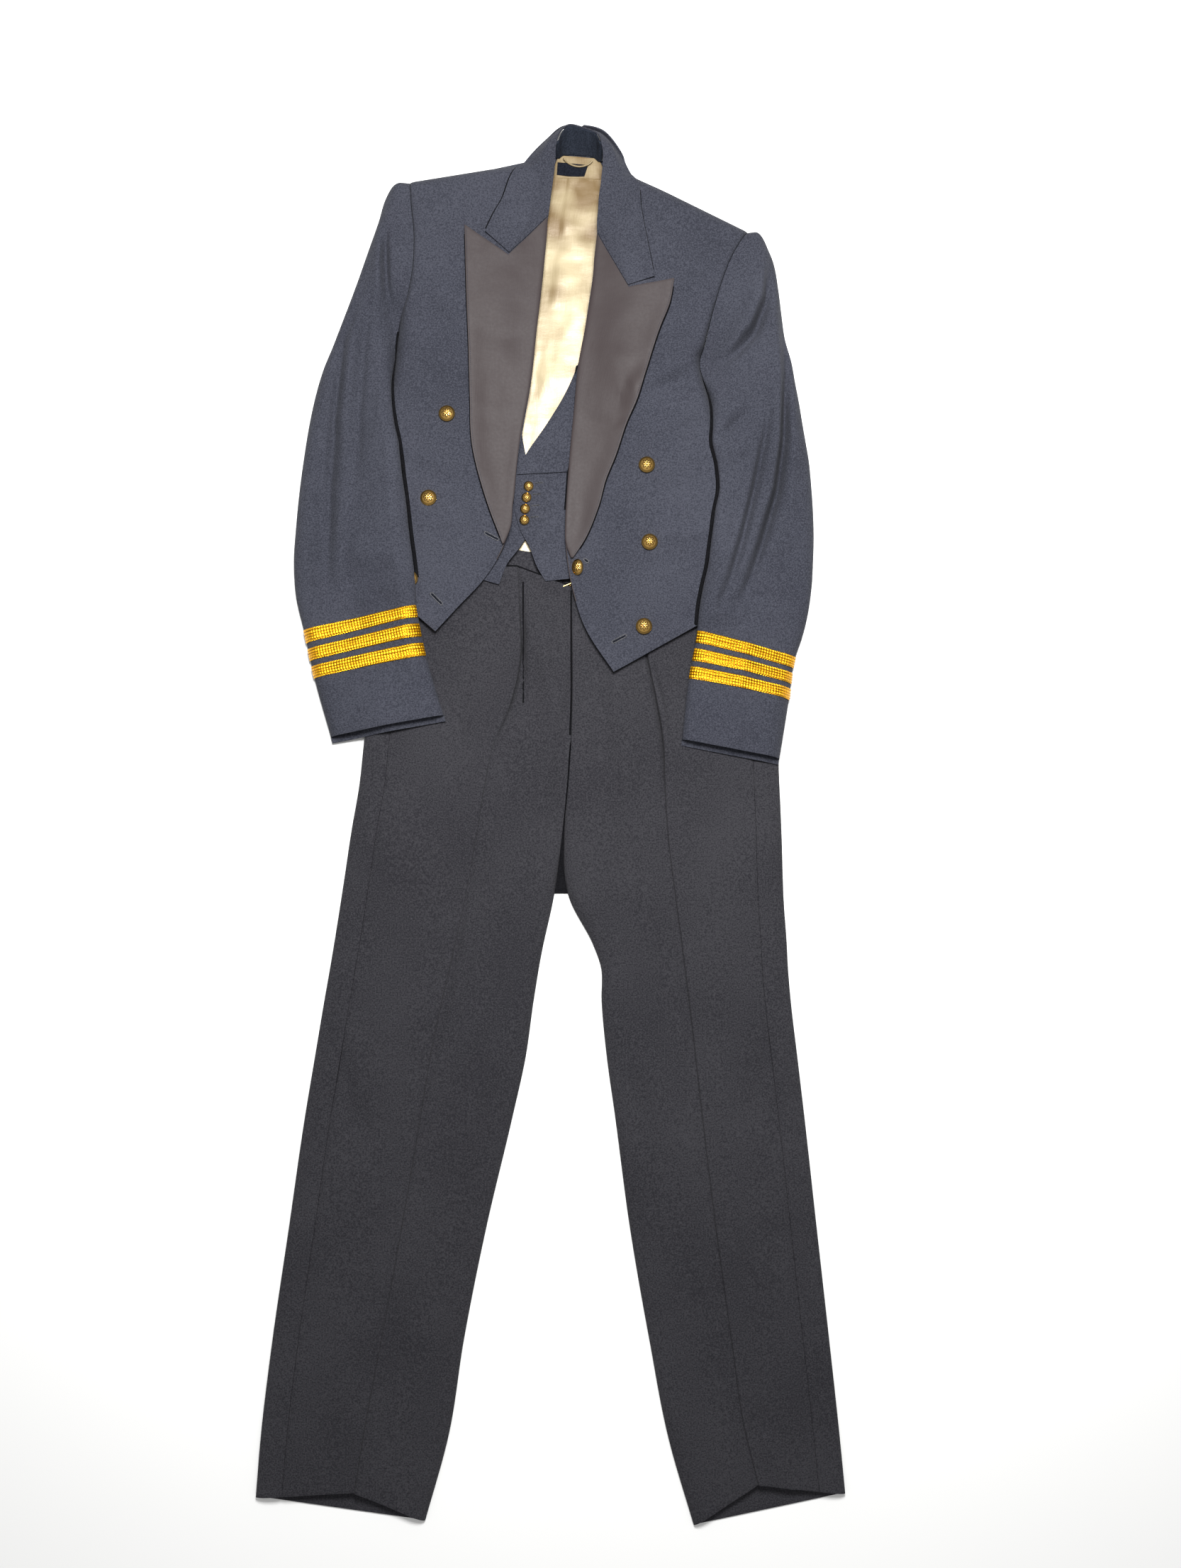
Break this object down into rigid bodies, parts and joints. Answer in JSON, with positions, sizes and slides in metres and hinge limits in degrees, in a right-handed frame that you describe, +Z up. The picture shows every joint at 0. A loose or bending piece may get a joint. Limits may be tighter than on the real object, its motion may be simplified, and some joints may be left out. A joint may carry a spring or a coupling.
{
  "type": "mess dress uniform",
  "caption": "Short cutaway mess jacket with satin lapels, waistcoat and pressed trousers, laid flat together face up as one evening dress suit.",
  "frame": {"origin": "centre of the bounding box in plan, on the surface that the suit lies on", "axes": "+X to the viewer's right looking down on the front, +Y from the hems toward the collar, +Z up, out of the front of the suit"},
  "size_m": [0.661, 1.6178, 0.0415],
  "materials": {
    "jacket_wool": "navy wool with a fine pebbled barathea weave, matt",
    "stand_wool": "dark navy wool, matt",
    "trouser_wool": "very dark navy wool, matt, pressed",
    "lapel_satin": "grey-brown satin facing, soft sheen",
    "gold_satin": "gold satin, strong soft sheen",
    "gold_lace": "gold metal thread woven as ribbed lace",
    "brass": "polished, slightly worn",
    "label": "woven label, bare, very dark navy"
  },
  "bodies": {
    "root": {"jacket_back": "jacket_wool", "jacket_lining_back": "gold_satin", "jacket_front_left": "jacket_wool", "jacket_front_right": "jacket_wool", "lapel_left": "lapel_satin", "lapel_right": "lapel_satin", "collar": "jacket_wool", "collar_stand": "stand_wool", "sleeve_top_left": "jacket_wool", "sleeve_under_left": "jacket_wool", "sleeve_top_right": "jacket_wool", "sleeve_under_right": "jacket_wool", "cuff_lace_left_1": "gold_lace", "cuff_lace_left_2": "gold_lace", "cuff_lace_left_3": "gold_lace", "cuff_lace_right_1": "gold_lace", "cuff_lace_right_2": "gold_lace", "cuff_lace_right_3": "gold_lace", "button_left_top": "brass", "button_left_middle": "brass", "button_left_bottom": "brass", "button_right_top": "brass", "button_right_middle": "brass", "button_right_bottom": "brass", "button_link": "brass", "hanger_loop": "gold_satin", "neck_label": "label", "waistcoat_back": "gold_satin", "waistcoat_front_left": "jacket_wool", "waistcoat_front_right": "jacket_wool", "waistcoat_collar": "jacket_wool", "waistcoat_button_1": "brass", "waistcoat_button_2": "brass", "waistcoat_button_3": "brass", "waistcoat_button_4": "brass", "trouser_front_left": "trouser_wool", "trouser_front_right": "trouser_wool", "trouser_back_left": "trouser_wool", "trouser_back_right": "trouser_wool", "trouser_hook": "brass"}
  },
  "joints": []
}
